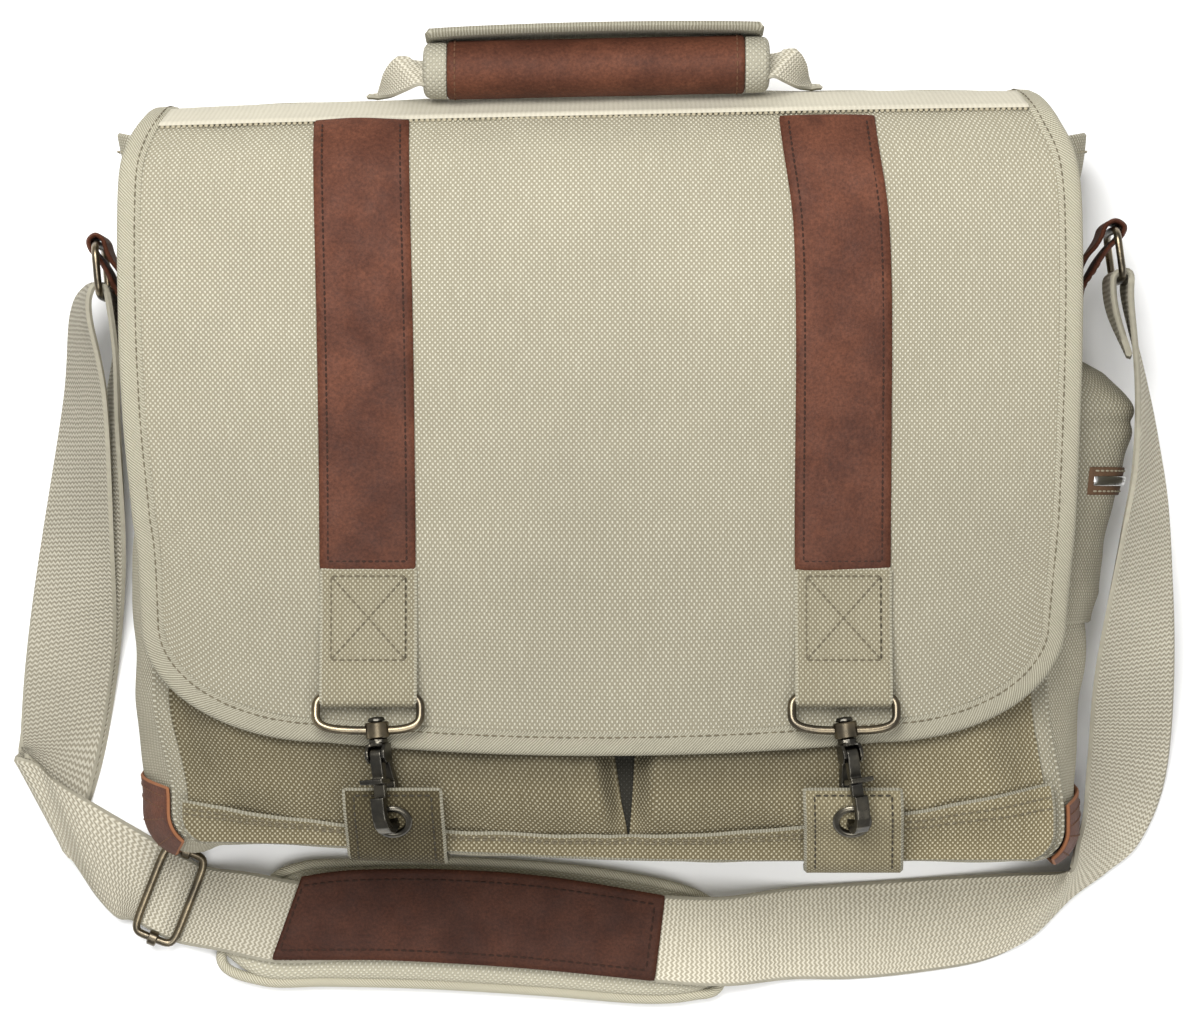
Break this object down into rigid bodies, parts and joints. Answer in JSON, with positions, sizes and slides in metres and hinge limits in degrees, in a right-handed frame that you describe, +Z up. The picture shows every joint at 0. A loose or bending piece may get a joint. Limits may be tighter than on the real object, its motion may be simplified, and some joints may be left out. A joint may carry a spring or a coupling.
{
  "type": "laptop bag",
  "caption": "Canvas laptop satchel lying on its back: leather-strapped flap, snap-hook closures, rolled carrying handle and a padded shoulder strap laid round it.",
  "frame": {"origin": "middle of the back panel's outer face, on the surface that the bag lies on", "axes": "+X to the right of the bag's front, +Y towards the carrying handle, +Z up out of the flap"},
  "size_m": [0.4998, 0.4164, 0.1219],
  "materials": {
    "canvas": "heavy stone-beige canvas",
    "twill": "cotton twill tape",
    "webbing": "coarse cotton webbing",
    "leather": "oiled brown cowhide",
    "brass": "antique brass",
    "zip_tape": "brown woven tape",
    "zip_teeth": "nickel teeth"
  },
  "bodies": {
    "bag": {"back_panel": "canvas", "front_panel": "canvas", "left_gusset": "canvas", "right_gusset": "canvas", "base_panel": "canvas", "left_pocket": "canvas", "right_pocket": "canvas", "base_band": "canvas", "side_pocket": "canvas", "flap": "canvas", "handle_grip": "canvas", "handle_cover": "canvas", "shoulder_pad": "canvas", "flap_binding": "twill", "left_closure_tab": "twill", "right_closure_tab": "twill", "pad_binding": "twill", "top_webbing": "webbing", "left_strap_tab": "webbing", "right_strap_tab": "webbing", "handle_webbing": "webbing", "strap_inner_run": "webbing", "strap_outer_run": "webbing", "strap_right_run": "webbing", "strap_right_end": "webbing", "left_corner_leather": "leather", "right_corner_leather": "leather", "left_strap_leather": "leather", "right_strap_leather": "leather", "handle_leather": "leather", "left_ring_tab": "leather", "right_ring_tab": "leather", "pad_leather": "leather", "side_zip_slider": "brass", "left_swivel_ring": "brass", "right_swivel_ring": "brass", "left_snap_hook": "brass", "right_snap_hook": "brass", "left_eyelet": "brass", "right_eyelet": "brass", "left_side_ring": "brass", "right_side_ring": "brass", "slide_buckle": "brass", "side_zip_tape": "zip_tape", "side_zip_teeth": "zip_teeth"},
    "left_lever": {"left_snap_lever": "brass"},
    "right_lever": {"right_snap_lever": "brass"}
  },
  "joints": [
    {"name": "left_lever_swing", "type": "hinge", "parent": "bag", "child": "left_lever", "pos_m": [-0.09163, -0.11604, 0.11035], "axis": [0.9464, 0.0945, 0.309], "range_deg": [0, 12], "stiffness_Nm_per_rad": 0.02, "springref_deg": -5.73},
    {"name": "right_lever_swing", "type": "hinge", "parent": "bag", "child": "right_lever", "pos_m": [0.10336, -0.11579, 0.1104], "axis": [0.9565, 0.1344, -0.2588], "range_deg": [0, 12], "stiffness_Nm_per_rad": 0.02, "springref_deg": -5.73}
  ]
}
